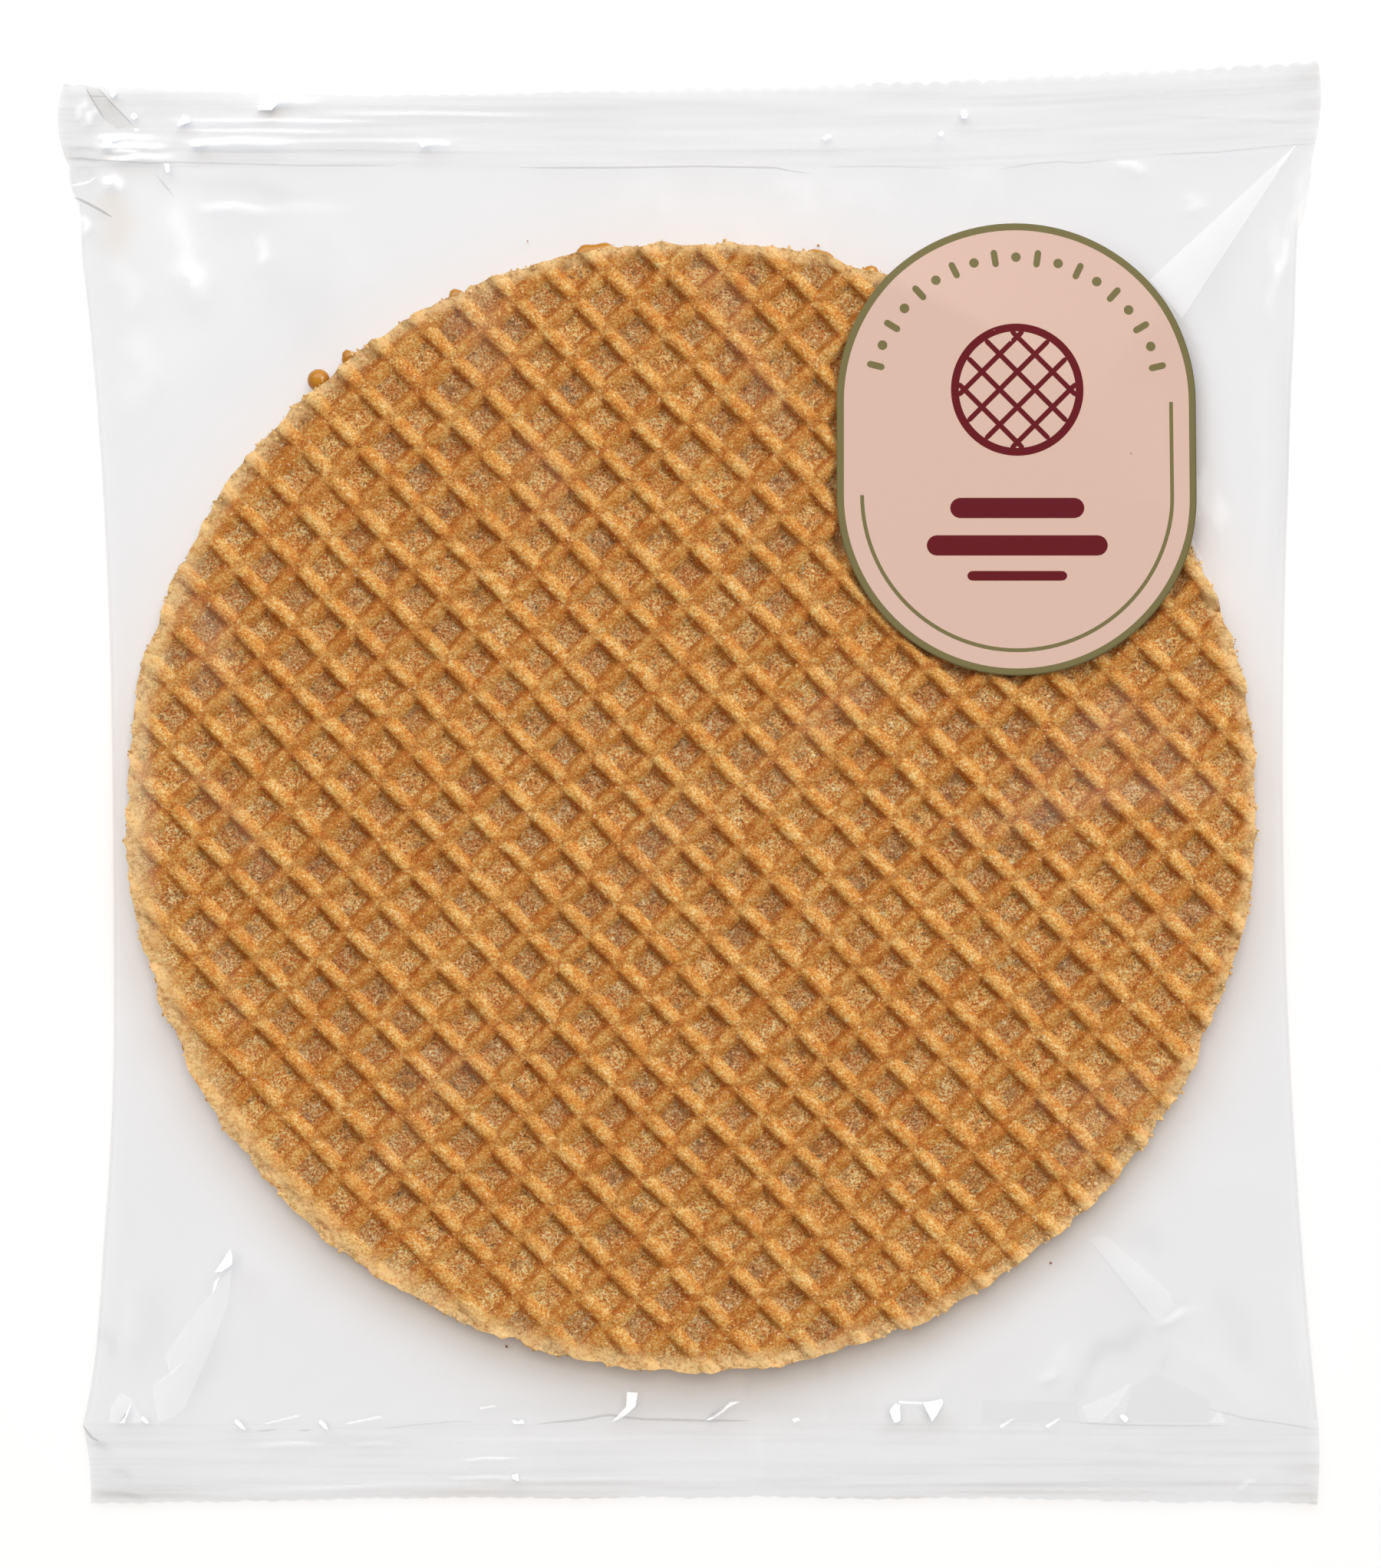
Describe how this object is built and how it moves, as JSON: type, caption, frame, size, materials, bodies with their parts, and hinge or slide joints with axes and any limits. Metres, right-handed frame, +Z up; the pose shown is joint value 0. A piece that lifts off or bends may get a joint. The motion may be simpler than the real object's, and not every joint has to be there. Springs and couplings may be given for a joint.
{
  "type": "stroopwafel in a sealed clear bag",
  "caption": "Large round syrup waffle lying flat in a clear heat-sealed flow-wrap bag with crimped ends and a capsule-shaped sticker on the film.",
  "frame": {"origin": "middle of the pack's footprint, on the surface it lies on", "axes": "+X across the pack to the sticker's side, +Y along the pack to the upper end seal, +Z up through the pack's shown side"},
  "size_m": [0.1632, 0.187, 0.007],
  "materials": {
    "clear_film": "clear glossy film",
    "label_paper": "printed, satin",
    "baked_wafer": "baked, grainy, matt",
    "caramel_syrup": "set syrup, glossy"
  },
  "bodies": {
    "root": {"bag": "clear_film", "label": "label_paper"}
  },
  "joints": []
}
